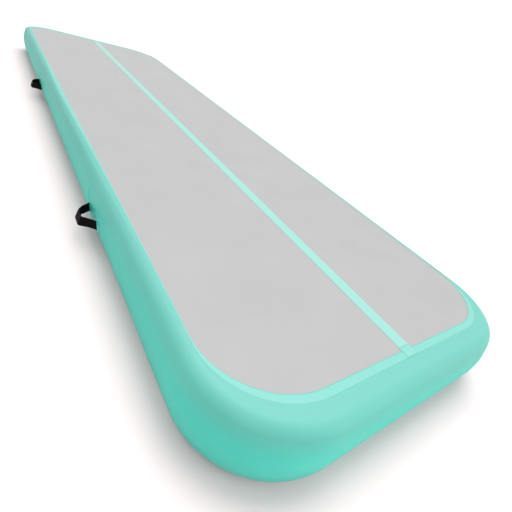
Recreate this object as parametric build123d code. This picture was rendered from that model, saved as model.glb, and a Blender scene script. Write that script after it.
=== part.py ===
"""An inflatable air track mat, 7 m long: drop-stitch body, side bands, seam tapes, webbing handles and valve.

Millimetres. Z is up and the floor is z = 0. Y runs along the mat, and its front end is at -Y. X runs across
it. The origin is on the floor under the middle of the mat.

The mat is a stack of thin sheets glued together. A sheet's depth is how far it lies inside the outer surface,
and a negative depth stands proud of it. Each sheet is PLY thick, with a FILM of glue under it.
"""

import os
from math import atan2, degrees, sqrt

from build123d import *

# The mat
LENGTH = 7000
WIDTH = 2000
HEIGHT = 330
CORNER_R = 460  # in plan, at the widest line of the wall
WALL_R = 400  # the bulge of the wall, in section
SHOULDER_R = 60  # the round from the wall to the deck

# The sheets
PLY = 0.7
FILM = 0.1
STEP = PLY + FILM
TAPE_DEPTH = 0
PANEL_DEPTH = STEP
SKIN_DEPTH = 2 * STEP
SEAM_DEPTH = 3 * STEP
BUTT = 0.5  # the gap where two sheets meet edge to edge

# The border of tape round the deck, which frames the grey panel
SIDE_BORDER = 88
END_BORDER = 176
OPENING_R = 374
TAPE_DROP = 75  # how far down the wall the tape reaches
SKIN_INSET = 100  # where the inner side band meets the skins
SEAM_HALF = 24  # half the width of the tape inside the chamber
SLICE_REACH = 300  # how far in from the wall a section is drawn

# The line down the deck
STRIPE_WIDTH = 72
TAB_WIDTH = 80
TAB_ON_DECK = 18  # from the border to where the stripe ends
TAB_ON_BORDER = 38  # let into a notch in the border

# The threads between the skins
YARN = 3
YARN_PITCH = 200
YARNS_ACROSS = 9
YARN_ROWS = 33

# The strip over the side band's own joint, on the rear wall
JOINT_STRIP = 60
JOINT_X = 310
JOINT_GAP = 1

# The handles: a webbing loop whose ends lie in pockets under a patch on the wall
HANDLE_PLACES = {"front": -1780, "rear": 900}
HANDLE_SIDES = {"left": 180, "right": 0}  # turned about Z from the +X wall
HANDLE_Z = 125
WEBBING = 60
STRAP = 2.1
LOOP_REACH = 82  # out from the wall to the middle of the grip
LOOP_ROOT = 107  # from the handle's middle to where the strap leaves the wall
LOOP_GRIP = 45  # half the grip, corner to corner
LOOP_R = 16
FLEX_REACH = 44  # the webbing bends between the wall and here, and swings as one piece beyond
PATCH_LONG = 340
PATCH_TALL = 96
END_LONG = 42  # the strap's hidden end
ROOT_GAP = 3.1  # between the hidden end and the strap where it turns out
WALL_REACH = -15  # from the wall's surface to where the strap is drawn from, inside it
POCKET_GAP = 0.5  # between the webbing's edges and the pocket
POCKET_SPARE = 6  # longer than the hidden end on each side
SLOT_WIDTH = 8.9
FLEX_GAP = 0.4
PATCH_DEPTH = -2.4
STITCH_DEPTH = -2.9
STITCH = 1.2
STITCH_BOX = (34, 50)
STITCH_IN = 6  # from where the strap leaves the wall to the box of stitching

# The valve, on the right wall near the rear. "Out" is the distance from the wall's widest line.
VALVE_Y = 2600
VALVE_PATCH_R = 62
WALL_HOLE_R = 21.6
SHANK_R = 21
SOCKET_R = 17
SOCKET_FLOOR = 1.6
RIM_R = 20
RIM_OUT = 11.3
FLANGE_R = 34
FLANGE_OUT = (1.3, 4.3)
SHANK_BORE_R = 16
CORE_R = 15.9
CORE_TOP = 1.4
THROAT_R = 13.5
SEAT_OUT = -24
HUB_OUT = (-17.4, -12.5)
HUB_R = 6
SPOKE = 3
STEM_R = 3
STEM_CLEARANCE = 0.15
BUTTON_R = 8.5
BUTTON_OUT = (-3.3, 0.5)
POPPET_R = 18
POPPET_THICK = 2
SEAL_THICK = 1.8
SEAL_GAP = 0.1
NUT_OUT = (-12.8, -4.8)
NUT_R = 34
NUT_NOTCHES = 6
NUT_NOTCH = (6, 7, 8)
SPRING_R = 4.8
SPRING_WIRE = 0.31
SPRING_TURNS = 4
LID_R = 23.5
LID_OUT = (12.0, 14.5)
LIP_OUT = 8.5
LIP_GAP = 0.4
LID_TAB = (12, 8, 1.5)
LID_TAB_OUT = 12.75
LID_SEAL_IN = 13
EDGE_ROUND = 1
TETHER_BEND = 38  # from the valve's axis to the outside of the bend
TETHER = 0.8
TETHER_WIDTH = 12
TETHER_GAP = 0.2

SHOULDER_IN = WALL_R - sqrt((WALL_R - SHOULDER_R) ** 2 - (HEIGHT / 2 - SHOULDER_R) ** 2)
TANGENT = degrees(atan2(HEIGHT / 2 - SHOULDER_R, WALL_R - SHOULDER_IN))


# Sections of the wall. X is out from the middle of the mat, 0 at the widest line, and Y is up.


def slice_at(depth):
    """The part of the cross-section that lies deeper than this."""
    top = HEIGHT - depth
    shoulder = SHOULDER_R - depth
    bend = 90 - TANGENT
    outline = [
        Line((-SLICE_REACH, depth), (-SHOULDER_IN, depth)),
        CenterArc((-SHOULDER_IN, SHOULDER_R), shoulder, -90, bend),
        CenterArc((-WALL_R, HEIGHT / 2), WALL_R - depth, -TANGENT, 2 * TANGENT),
        CenterArc((-SHOULDER_IN, HEIGHT - SHOULDER_R), shoulder, TANGENT, bend),
        Line((-SHOULDER_IN, top), (-SLICE_REACH, top)),
        Line((-SLICE_REACH, top), (-SLICE_REACH, depth)),
    ]
    return make_face(outline)


def window(inner, outer, low, high):
    """A rectangle from inner to outer across and from low to high up, to cut a section with."""
    return Pos((inner + outer) / 2, (low + high) / 2) * Rectangle(outer - inner, high - low)


def sheet_section(depth, thick, inset, low=-1, high=HEIGHT + 1):
    """A sheet that follows the wall, between two heights, reaching this far in over the deck and base."""
    whole = slice_at(depth) - slice_at(depth + thick)
    return whole & window(-inset, SHOULDER_R, low, high)


def stand_up(section, across):
    """The section stood up in the XZ plane, its widest point at this X."""
    return Plane.XZ * (Pos(across, 0) * section)


def ring(section):
    """The section carried round the mat's outline: four walls and four round corners."""
    corner = revolve(stand_up(section, CORNER_R), Axis.Z, 90)
    centres = [(1, 1), (-1, 1), (-1, -1), (1, -1)]
    pieces = []
    for quarter, (x_sign, y_sign) in enumerate(centres):
        run = (LENGTH, WIDTH)[quarter % 2] - 2 * CORNER_R
        wall = extrude(stand_up(section, CORNER_R), run)
        x = x_sign * (WIDTH / 2 - CORNER_R)
        y = y_sign * (LENGTH / 2 - CORNER_R)
        pieces.append(Pos(x, y, 0) * Rot(0, 0, 90 * quarter) * (corner + wall))
    return pieces[0] + pieces[1:]


def along_wall(section, middle, length):
    """The section run along the right wall, this long about this Y."""
    return Pos(0, middle + length / 2, 0) * extrude(stand_up(section, WIDTH / 2), length)


def wall_x(height):
    """How far the widest line is out from the wall's surface at this height."""
    return WALL_R - sqrt(WALL_R**2 - (height - HEIGHT / 2) ** 2)


# Flat sheets


def outline(inset):
    """The mat's outline in plan, this far in from its widest line."""
    return RectangleRounded(WIDTH - 2 * inset, LENGTH - 2 * inset, CORNER_R - inset)


def opening(gap=0):
    """The opening in the border of tape, drawn in by a gap."""
    return RectangleRounded(
        WIDTH - 2 * (SIDE_BORDER + gap), LENGTH - 2 * (END_BORDER + gap), OPENING_R - gap
    )


def notched_opening():
    """The opening on top, with a notch at each end for the stripe's tab."""
    reach = LENGTH - 2 * (END_BORDER - TAB_ON_BORDER - BUTT)
    return opening() + Rectangle(TAB_WIDTH + 2 * BUTT, reach)


def plate(shape, low, thick):
    return Pos(0, 0, low) * extrude(shape, thick)


def flip(shape):
    """The same piece on the underside of the mat."""
    return Pos(0, 0, HEIGHT) * Rot(180, 0, 0) * shape


# The mat's body


def edge_tape(hole):
    """The seam tape over the top shoulder, with the flat border that frames the deck round this hole."""
    over = ring(sheet_section(TAPE_DEPTH, PLY, SHOULDER_IN, low=HEIGHT - TAPE_DROP))
    return over + plate(outline(SHOULDER_IN) - hole, HEIGHT - PLY, PLY)


def deck_panel():
    return plate(outline(SHOULDER_IN + BUTT), HEIGHT - PANEL_DEPTH - PLY, PLY)


def base_sheet():
    """The sheet underneath, doubled inside the tape's opening so that it lies on the floor too."""
    sheet = plate(outline(SHOULDER_IN + BUTT), PANEL_DEPTH, PLY)
    return sheet + plate(opening(BUTT), 0, PANEL_DEPTH + PLY)


def top_skin():
    return plate(outline(SKIN_INSET + BUTT), HEIGHT - SKIN_DEPTH - PLY, PLY)


def outer_band():
    """The band round the wall, cut through at its joint on the rear wall and round the valve."""
    band = ring(sheet_section(PANEL_DEPTH, PLY, SHOULDER_IN))
    cut = Pos(JOINT_X, LENGTH / 2, HEIGHT / 2) * Box(JOINT_GAP, 2 * SLICE_REACH, 2 * HEIGHT)
    return band - cut - valve_hole()


def inner_band():
    return ring(sheet_section(SKIN_DEPTH, PLY, SKIN_INSET)) - valve_hole()


def inner_seam_tape():
    strip = outline(SKIN_INSET - SEAM_HALF) - outline(SKIN_INSET + SEAM_HALF)
    return plate(strip, HEIGHT - SEAM_DEPTH - PLY, PLY)


def band_joint_strip():
    """The strip over the outer band's joint, between the two edge tapes."""
    low = TAPE_DROP + BUTT
    section = sheet_section(TAPE_DEPTH, PLY, SHOULDER_IN, low=low, high=HEIGHT - low)
    strip = extrude(stand_up(section, LENGTH / 2), JOINT_STRIP)
    return Rot(0, 0, 90) * Pos(0, JOINT_STRIP / 2 - JOINT_X, 0) * strip


def thread_rows():
    """Rows of one yarn each, which crosses from skin to skin and back as it was woven."""
    low = SEAM_DEPTH
    high = HEIGHT - SEAM_DEPTH
    row = Sketch()
    for i in range(YARNS_ACROSS):
        x = (i - (YARNS_ACROSS - 1) / 2) * YARN_PITCH
        row += window(x - YARN / 2, x + YARN / 2, low, high)
        if i < YARNS_ACROSS - 1:
            z = high - YARN if i % 2 else low
            row += window(x, x + YARN_PITCH, z, z + YARN)
    solid = extrude(Plane.XZ * row, YARN)
    first = -(YARN_ROWS - 1) / 2 * YARN_PITCH + YARN / 2
    return [Pos(0, first + i * YARN_PITCH, 0) * solid for i in range(YARN_ROWS)]


def centre_stripe():
    length = LENGTH - 2 * (END_BORDER + TAB_ON_DECK + BUTT)
    return plate(Rectangle(STRIPE_WIDTH, length), HEIGHT - PLY, PLY)


def stripe_tab(end):
    """The short tab that joins the stripe to the border, at the front (-1) or the rear (1)."""
    middle = end * (LENGTH / 2 - END_BORDER + (TAB_ON_BORDER - TAB_ON_DECK) / 2)
    shape = Rectangle(TAB_WIDTH, TAB_ON_BORDER + TAB_ON_DECK)
    return Pos(0, middle, 0) * plate(shape, HEIGHT - PLY, PLY)


# A handle, drawn on the right wall about Y = 0


def hand_box(reach, along, tall):
    """A box beside the wall at the handle: (from, to) outwards, (from, to) along, and its height."""
    x = WIDTH / 2 - wall_x(HANDLE_Z) + (reach[0] + reach[1]) / 2
    return Pos(x, (along[0] + along[1]) / 2, HANDLE_Z) * Box(
        reach[1] - reach[0], along[1] - along[0], tall
    )


def both_ends(solid):
    return [solid, mirror(solid, about=Plane.XZ)]


def handle_patch():
    """The patch glued over the strap's ends, with a pocket and a slot for each."""
    half_tall = PATCH_TALL / 2
    section = sheet_section(
        PATCH_DEPTH, PANEL_DEPTH - FILM - PATCH_DEPTH, SHOULDER_IN, HANDLE_Z - half_tall, HANDLE_Z + half_tall
    )
    patch = along_wall(section, 0, PATCH_LONG)
    half_web = WEBBING / 2 + POCKET_GAP
    pocket_top = -STRAP + PANEL_DEPTH - 2 * FILM
    room = sheet_section(
        pocket_top, STRAP + 2 * FILM, SHOULDER_IN, HANDLE_Z - half_web, HANDLE_Z + half_web
    )
    start = LOOP_ROOT - STRAP - ROOT_GAP
    long = END_LONG + POCKET_SPARE
    pocket = along_wall(room, start + long / 2, long)
    slot = hand_box((WALL_REACH, SHOULDER_R), (start, start + SLOT_WIDTH), 2 * half_web)
    for cut in both_ends(pocket) + both_ends(slot):
        patch -= cut
    return patch


def handle_anchors():
    """The strap's two hidden ends, flat against the wall in the patch's pockets."""
    section = sheet_section(
        PANEL_DEPTH - FILM - STRAP, STRAP, SHOULDER_IN, HANDLE_Z - WEBBING / 2, HANDLE_Z + WEBBING / 2
    )
    start = LOOP_ROOT + STRAP + ROOT_GAP
    long = END_LONG - POCKET_SPARE
    end = along_wall(section, start + long / 2, long)
    return both_ends(end)


def whole_strap():
    """The loop of webbing from wall to wall, with its ends run on into the wall."""
    lean = (LOOP_ROOT - LOOP_GRIP) / LOOP_REACH
    corners = [
        (WALL_REACH, LOOP_ROOT - lean * WALL_REACH),
        (LOOP_REACH, LOOP_GRIP),
        (LOOP_REACH, -LOOP_GRIP),
        (WALL_REACH, lean * WALL_REACH - LOOP_ROOT),
    ]
    path = FilletPolyline(*corners, radius=LOOP_R)
    strap = extrude(trace(path, STRAP), WEBBING)
    return Pos(WIDTH / 2 - wall_x(HANDLE_Z), 0, HANDLE_Z - WEBBING / 2) * strap


def handle_strap():
    """The part of the loop that swings as one piece."""
    return whole_strap() & hand_box((FLEX_REACH, 2 * LOOP_REACH), (-PATCH_LONG, PATCH_LONG), 2 * WEBBING)


def handle_roots():
    """The two short lengths of webbing that bend, from the wall to the swinging loop."""
    near = hand_box((-SHOULDER_R, FLEX_REACH - FLEX_GAP), (-PATCH_LONG, PATCH_LONG), 2 * WEBBING)
    wall = along_wall(slice_at(PANEL_DEPTH - FILM), 0, PATCH_LONG)
    return (whole_strap() & near) - wall


def handle_stitching():
    """A box of stitching with a cross in it over each hidden end, standing a little proud of the patch."""
    long, tall = STITCH_BOX
    slope = degrees(atan2(tall, long))
    pattern = Rectangle(long, tall) - Rectangle(long - 2 * STITCH, tall - 2 * STITCH)
    for angle in (slope, -slope):
        bar = Rot(0, 0, angle) * Rectangle(sqrt(long**2 + tall**2), STITCH)
        pattern += bar & Rectangle(long, tall)
    middle = LOOP_ROOT + STITCH_IN + long / 2
    through = extrude(Plane.YZ * pattern, SHOULDER_R, both=True)
    through = Pos(WIDTH / 2, middle, HANDLE_Z) * through
    thick = PATCH_DEPTH - STITCH_DEPTH - FILM / 2
    section = sheet_section(STITCH_DEPTH, thick, SHOULDER_IN, HANDLE_Z - tall, HANDLE_Z + tall)
    return both_ends(along_wall(section, middle, 2 * long) & through)


# The valve, drawn along Z from the wall's widest line and then laid into the right wall


def drum(radius, span):
    """A cylinder on the valve's axis, from span[0] to span[1] outwards."""
    return Pos(0, 0, (span[0] + span[1]) / 2) * Cylinder(radius, span[1] - span[0])


def tube(outer, inner, span):
    return drum(outer, span) - drum(inner, (span[0] - 1, span[1] + 1))


def lay_in(solid):
    """Turns the valve's axis from Z to X: its own X then points down and its Y along the mat."""
    return Pos(WIDTH / 2, VALVE_Y, HEIGHT / 2) * Rot(0, 90, 0) * solid


def valve_hole():
    return lay_in(drum(WALL_HOLE_R, (-SHOULDER_R, SHOULDER_R)))


def valve_patch():
    section = sheet_section(-STEP, STEP + PANEL_DEPTH - FILM, SHOULDER_IN)
    disc = along_wall(section, VALVE_Y, 2 * VALVE_PATCH_R)
    return (disc & lay_in(drum(VALVE_PATCH_R, (-SHOULDER_R, SHOULDER_R)))) - valve_hole()


def valve_gasket():
    """The ring that fills in between the flat flange and the curved patch."""
    blank = lay_in(tube(FLANGE_R - EDGE_ROUND, WALL_HOLE_R, (WALL_REACH, FLANGE_OUT[0] - FILM / 2)))
    return blank - along_wall(slice_at(-STEP - FILM), VALVE_Y, 4 * FLANGE_R)


def valve_body():
    """Flange, raised rim with the socket for a pump in it, and shank."""
    body = drum(FLANGE_R, FLANGE_OUT) + drum(RIM_R, (FLANGE_OUT[1], RIM_OUT))
    body += drum(SHANK_R, (SEAT_OUT, FLANGE_OUT[0]))
    body -= drum(SOCKET_R, (SOCKET_FLOOR, RIM_OUT + 1))
    body -= drum(SHANK_BORE_R, (SEAT_OUT - 1, SOCKET_FLOOR + 1))
    return lay_in(body)


def valve_core():
    """The sleeve in the shank, with the spider that guides the stem. Its inner end is the valve's seat."""
    middle = (HUB_OUT[0] + HUB_OUT[1]) / 2
    reach = (THROAT_R + CORE_R) / 2
    spoke = Pos(reach / 2, 0, middle) * Box(reach, SPOKE, HUB_OUT[1] - HUB_OUT[0])
    core = tube(CORE_R, THROAT_R, (SEAT_OUT, CORE_TOP)) + drum(HUB_R, HUB_OUT)
    core += [Rot(0, 0, 120 * i) * spoke for i in range(3)]
    core -= drum(STEM_R + STEM_CLEARANCE, (SEAT_OUT, RIM_OUT))
    return lay_in(core)


def valve_nut():
    """The ring nut inside the chamber, with notches for a spanner."""
    nut = tube(NUT_R, SHANK_R + STEM_CLEARANCE, NUT_OUT)
    notch = Pos(NUT_R, 0, NUT_OUT[0]) * Box(*NUT_NOTCH)
    for i in range(NUT_NOTCHES):
        nut -= Rot(0, 0, 360 / NUT_NOTCHES * i) * notch
    return lay_in(nut)


def valve_stem():
    """The rod with the poppet's plate at its inner end."""
    plate_top = SEAT_OUT - SEAL_GAP - SEAL_THICK
    plate_span = (plate_top - POPPET_THICK, plate_top)
    return lay_in(drum(STEM_R, (plate_top, BUTTON_OUT[1])) + drum(POPPET_R, plate_span))


def valve_seal():
    top = SEAT_OUT - SEAL_GAP
    return lay_in(tube(POPPET_R, THROAT_R - EDGE_ROUND, (top - SEAL_THICK, top)))


def valve_button():
    button = tube(BUTTON_R, STEM_R, BUTTON_OUT)
    rim = button.edges().group_by(Axis.Z)[-1].sort_by(SortBy.RADIUS)[-1]
    return lay_in(fillet(rim, EDGE_ROUND))


def valve_spring():
    low = HUB_OUT[1] + SPRING_WIRE + FILM
    high = BUTTON_OUT[0] - SPRING_WIRE - FILM
    path = Helix((high - low) / SPRING_TURNS, high - low, SPRING_R)
    coil = sweep(Plane(origin=path @ 0, z_dir=path % 0) * Circle(SPRING_WIRE), path)
    return lay_in(Pos(0, 0, low) * coil)


def valve_cap():
    """The lid: a disc with a lip that snaps over the rim, and a tab to lift it by."""
    lid = drum(LID_R, LID_OUT)
    lid = fillet(lid.edges().group_by(Axis.Z)[-1], EDGE_ROUND)
    lip = tube(LID_R, RIM_R + LIP_GAP, (LIP_OUT, LID_OUT[0]))
    tab = Pos(0, LID_R + LID_TAB[1] / 4, LID_TAB_OUT) * Box(*LID_TAB)
    return lay_in(lid + lip + tab)


def valve_cap_seal():
    return lay_in(tube(RIM_R - LIP_GAP, LID_SEAL_IN, (RIM_OUT + SEAL_GAP, LID_OUT[0])))


def valve_cap_tether():
    """The flexible strip that turns back on itself between the flange's edge and the lid."""
    near = -LID_R - TETHER_GAP
    far = -TETHER_BEND
    foot = (sum(FLANGE_OUT) - TETHER) / 2
    head = (sum(LID_OUT) - TETHER) / 2
    run = Pos((near + far) / 2, head + TETHER / 2) * Rectangle(near - far, TETHER)
    drop = window(far, far + TETHER, foot, head + TETHER)
    end = window(far, -FLANGE_R - TETHER_GAP, foot, foot + TETHER)
    strip = extrude(Plane.YZ * (run + drop + end), TETHER_WIDTH / 2, both=True)
    return lay_in(strip)


def handle_parts():
    """Each handle's pieces, put in place from the one drawn on the right wall."""
    drawn = {
        "patch": [handle_patch()],
        "anchors": handle_anchors(),
        "roots": [handle_roots()],
        "strap": [handle_strap()],
        "stitching": handle_stitching(),
    }
    parts = {}
    for end, place in HANDLE_PLACES.items():
        for side, turn in HANDLE_SIDES.items():
            for piece, solids in drawn.items():
                name = f"handle_{end}_{side}_{piece}"
                parts[name] = [Pos(0, place, 0) * Rot(0, 0, turn) * solid for solid in solids]
    return parts


def build():
    seam = inner_seam_tape()
    skin = top_skin()
    parts = {
        "top_deck_panel": deck_panel(),
        "base_sheet": base_sheet(),
        "top_skin": skin,
        "bottom_skin": flip(skin),
        "top_edge_tape": edge_tape(notched_opening()),
        "bottom_edge_tape": flip(edge_tape(opening())),
        "outer_side_band": outer_band(),
        "inner_side_band": inner_band(),
        "inner_top_seam_tape": seam,
        "inner_bottom_seam_tape": flip(seam),
        "band_joint_strip": band_joint_strip(),
        "drop_stitch_threads": thread_rows(),
        "centre_stripe": centre_stripe(),
        "stripe_tab_front": stripe_tab(-1),
        "stripe_tab_rear": stripe_tab(1),
        "valve_patch": valve_patch(),
        "valve_gasket": valve_gasket(),
        "valve_body": valve_body(),
        "valve_core": valve_core(),
        "valve_nut": valve_nut(),
        "valve_stem": valve_stem(),
        "valve_seal": valve_seal(),
        "valve_button": valve_button(),
        "valve_spring": valve_spring(),
        "valve_cap": valve_cap(),
        "valve_cap_seal": valve_cap_seal(),
        "valve_cap_tether": valve_cap_tether(),
    }
    parts.update(handle_parts())
    return parts


os.makedirs("parts", exist_ok=True)
for node, shape in build().items():
    pieces = shape if isinstance(shape, list) else [shape]
    solids = [solid for piece in pieces for solid in piece.solids()]
    export_step(Compound(children=solids) if len(solids) > 1 else solids[0], f"parts/{node}.step")
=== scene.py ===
"""The looks of an inflatable air track mat: its glued sheets, tapes, webbing handles and valve.

Metres, in the row frame: Z up, Y along the mat, X across it. A place on the mat's wall is a station round its
outline and a way, the length down the section from where the shoulder begins. A sheet's depth is how far it
lies inside the outer surface, and a negative depth stands proud of it.
"""

from math import atan2, cos, pi, radians, sin, sqrt

import bmesh
import bpy
import numpy as np
from mathutils import Matrix, Vector


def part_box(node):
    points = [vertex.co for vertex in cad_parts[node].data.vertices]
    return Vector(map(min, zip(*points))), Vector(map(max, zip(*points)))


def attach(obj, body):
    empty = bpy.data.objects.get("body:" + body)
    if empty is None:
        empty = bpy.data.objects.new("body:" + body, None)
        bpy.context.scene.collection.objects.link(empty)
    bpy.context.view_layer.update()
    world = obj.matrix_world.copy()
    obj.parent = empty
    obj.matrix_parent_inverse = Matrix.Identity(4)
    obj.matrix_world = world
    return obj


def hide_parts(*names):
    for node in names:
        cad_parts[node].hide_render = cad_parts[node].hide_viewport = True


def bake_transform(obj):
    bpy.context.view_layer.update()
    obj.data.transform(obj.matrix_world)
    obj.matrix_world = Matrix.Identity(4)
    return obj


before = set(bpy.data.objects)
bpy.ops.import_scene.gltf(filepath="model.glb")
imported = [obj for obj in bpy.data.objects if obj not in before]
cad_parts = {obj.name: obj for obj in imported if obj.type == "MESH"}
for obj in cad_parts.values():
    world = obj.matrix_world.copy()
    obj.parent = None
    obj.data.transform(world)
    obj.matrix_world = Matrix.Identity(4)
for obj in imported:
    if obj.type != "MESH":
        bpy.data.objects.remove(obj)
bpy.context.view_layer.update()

MM = 0.001

# The mat, as the CAD has it
PLY = 0.7 * MM
STEP = 0.8 * MM
BUTT = 0.5 * MM
SIDE_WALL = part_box("outer_side_band")
HALF_WIDTH = SIDE_WALL[1].x + STEP
HALF_LENGTH = SIDE_WALL[1].y + STEP
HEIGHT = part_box("top_edge_tape")[1].z
CORNER_R = 0.46
WALL_R = 0.4
SHOULDER_R = 0.06
SIDE_BORDER = 0.088
END_BORDER = 0.176
OPENING_R = 0.374
TAPE_DROP = 0.075
TAPE_DEPTH = 0.0
PANEL_DEPTH = STEP
DECK_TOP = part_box("top_deck_panel")[1].z

SHOULDER_IN = WALL_R - sqrt((WALL_R - SHOULDER_R) ** 2 - (HEIGHT / 2 - SHOULDER_R) ** 2)
TANGENT = atan2(HEIGHT / 2 - SHOULDER_R, WALL_R - SHOULDER_IN)
SHOULDER_LONG = SHOULDER_R * (pi / 2 - TANGENT)
WALL_LONG = 2 * WALL_R * TANGENT
SECTION_LONG = 2 * SHOULDER_LONG + WALL_LONG
STRAIGHT_Y = HALF_LENGTH - CORNER_R
STRAIGHT_X = HALF_WIDTH - CORNER_R
CORNER_LONG = pi / 2 * CORNER_R
ROUND = 4 * (STRAIGHT_X + STRAIGHT_Y + CORNER_LONG)

# The seam strip round the deck, whose outer edge shows in the border
STRIP_WIDTH = 38 * MM
STRIP_PROUD = 0.35 * MM

# The handles
HANDLES = {
    "front_left": (-1, -1.78),
    "front_right": (1, -1.78),
    "rear_left": (-1, 0.9),
    "rear_right": (1, 0.9),
}
HANDLE_Z = 0.125
WEBBING = 60 * MM
STRAP = 2.1 * MM
LOOP_REACH = 82 * MM
LOOP_ROOT = 107 * MM
LOOP_GRIP = 45 * MM
LOOP_R = 16 * MM
FLEX_REACH = 44 * MM
PATCH_HALF = (0.17, 0.048)
PATCH_ROUND = 0.02
PATCH_DEPTH = -1.1 * MM
POCKET_DEPTH = -2.4 * MM
STITCH_BOX = (34 * MM, 50 * MM)
STITCH_MIDDLE = LOOP_ROOT + 23 * MM
GRIP_TILT = radians(-18)
# How far a pad and the webbing under it can stand out from the wall
PAD_PROUD = 7 * MM
# Points across one face of the webbing, and round each of its edges
RIB_POINTS = 41
EDGE_POINTS = 5

# The valve
VALVE_Y = 2.6
VALVE_PATCH_R = 62 * MM
WALL_HOLE_R = 21.6 * MM
# The wall is cut away this far round the valve's middle, out of sight under its patch
WALL_CUT_R = 29 * MM
# The edge of the valve's flange, from its middle, where the lid's strap starts
FLANGE_EDGE = 34.2 * MM
# The coil under the button, as the CAD has it: the wire's radius, the turns, and the sides of its mesh
SPRING_WIRE = 0.31 * MM
SPRING_TURNS = 4
SPRING_SIDES = 10
SPRING_STEPS = 32

# How fine the wall's mesh is
FINE = 7 * MM
COARSE = 45 * MM
BUSY_REACH = 0.24


# Shape of the mat


def wall_in(height):
    """How far the wall's surface is in from its widest line at this height."""
    return WALL_R - np.sqrt(WALL_R**2 - (height - HEIGHT / 2) ** 2)


def way_at(height):
    """The way down the section to this height on the wall."""
    return SHOULDER_LONG + WALL_R * (TANGENT - np.arcsin((height - HEIGHT / 2) / WALL_R))


def side_start(side):
    """The distance round the mat to the middle of a long wall."""
    return {1: STRAIGHT_Y, -1: 3 * STRAIGHT_Y + 2 * CORNER_LONG + 2 * STRAIGHT_X}[side]


def section(way, depth):
    """A way's place in the section, out from the widest line and up, and its normal's two parts."""
    way = np.asarray(way, float)
    below = way - SHOULDER_LONG - WALL_LONG
    same = np.ones(way.shape)
    zones = [way < 0, way < SHOULDER_LONG, below < 0, way < SECTION_LONG]
    angles = [pi / 2 * same, pi / 2 - way / SHOULDER_R]
    angles += [TANGENT - (way - SHOULDER_LONG) / WALL_R, -TANGENT - below / SHOULDER_R]
    angle = np.select(zones, angles, -pi / 2)
    radius = np.where(zones[2] & ~zones[1], WALL_R, SHOULDER_R) - depth
    outs = [way - SHOULDER_IN, -SHOULDER_IN * same, -WALL_R * same, -SHOULDER_IN * same]
    centre_out = np.select(zones, outs, SECTION_LONG - SHOULDER_IN - way)
    shoulder_up = (HEIGHT - SHOULDER_R) * same
    ups = [shoulder_up, shoulder_up, HEIGHT / 2 * same, SHOULDER_R * same]
    centre_up = np.select(zones, ups, SHOULDER_R)
    normal = (np.cos(angle), np.sin(angle))
    return centre_out + radius * normal[0], centre_up + radius * normal[1], normal


def spaced(low, high, busy):
    """Places from low to high, close together near the busy ones."""
    places = [low]
    while places[-1] < high:
        near = min([abs(places[-1] - b) for b in busy] + [high - low])
        places.append(places[-1] + min(COARSE, max(FINE, FINE + 0.1 * (near - BUSY_REACH))))
    found = np.array(places)
    return low + (found - low) * (high - low) / (found[-1] - low)


def stations():
    """Round the outline: how far it is along each straight, in two directions, and the wall's heading."""
    handle_y = sorted({place for _, place in HANDLES.values()})
    right = spaced(-STRAIGHT_Y, STRAIGHT_Y, handle_y + [VALVE_Y])[:-1] / STRAIGHT_Y
    left = spaced(-STRAIGHT_Y, STRAIGHT_Y, handle_y)[:0:-1] / STRAIGHT_Y
    end = spaced(-STRAIGHT_X, STRAIGHT_X, [])[:-1] / STRAIGHT_X
    turn = np.linspace(0, 1, 49)[:-1]
    across, along, heading = [], [], []
    walls = [(right, 0), (end, 1), (left, 2), (end, 3)]
    signs = [(1, 1), (-1, 1), (-1, -1), (1, -1)]
    for (places, quarter), (x_sign, y_sign) in zip(walls, signs):
        moving = -places if quarter == 1 else places
        fixed = np.full(len(places), 1 if quarter < 2 else -1)
        across.append(moving if quarter % 2 else fixed)
        along.append(fixed if quarter % 2 else moving)
        heading.append(np.full(len(places), quarter * pi / 2))
        across.append(np.full(len(turn), x_sign))
        along.append(np.full(len(turn), y_sign))
        heading.append((quarter + turn) * pi / 2)
    return np.concatenate(across), np.concatenate(along), np.concatenate(heading)


ACROSS, ALONG, HEADING = stations()


def loop(half_x, half_y, radius):
    """A rounded rectangle's point at each station."""
    x = ACROSS * (half_x - radius) + radius * np.cos(HEADING)
    y = ALONG * (half_y - radius) + radius * np.sin(HEADING)
    return np.stack([x, y], 1)


WIDEST = loop(HALF_WIDTH, HALF_LENGTH, CORNER_R)
OUTWARD = np.stack([np.cos(HEADING), np.sin(HEADING)], 1)
MEASURED = np.concatenate([[0], np.cumsum(np.linalg.norm(np.diff(WIDEST, axis=0), axis=1))])


# A cloud's table: its rows, and where in it the section begins
CLOUD_ROWS = 64
CLOUD_START = 7.3


def cloud(round_way, way, size, seed):
    """A smooth random field from -1 to 1 over the wall, which closes on itself round the mat."""
    cells = max(3, round(ROUND / size[0]))
    table = np.random.default_rng(seed).uniform(-1, 1, (cells, CLOUD_ROWS))
    a, b = round_way / ROUND * cells, way / size[1] + CLOUD_START
    i, j = np.floor(a).astype(int), np.floor(b).astype(int)
    u, v = a - i, b - j
    u, v = u * u * (3 - 2 * u), v * v * (3 - 2 * v)
    first, second = (
        table[(i + p) % cells, j % CLOUD_ROWS] * (1 - v) + table[(i + p) % cells, (j + 1) % CLOUD_ROWS] * v
        for p in (0, 1)
    )
    return first * (1 - u) + second * u


def smooth(low, high, value):
    """0 up to low and 1 from high, with an even turn between them."""
    t = np.clip((value - low) / (high - low), 0, 1)
    return t * t * (3 - 2 * t)


def rounded_box_distance(u, v, half, radius):
    """How far a point is outside a rounded rectangle."""
    qu, qv = np.abs(u) - half[0] + radius, np.abs(v) - half[1] + radius
    return np.hypot(np.maximum(qu, 0), np.maximum(qv, 0)) + np.minimum(np.maximum(qu, qv), 0) - radius


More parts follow.
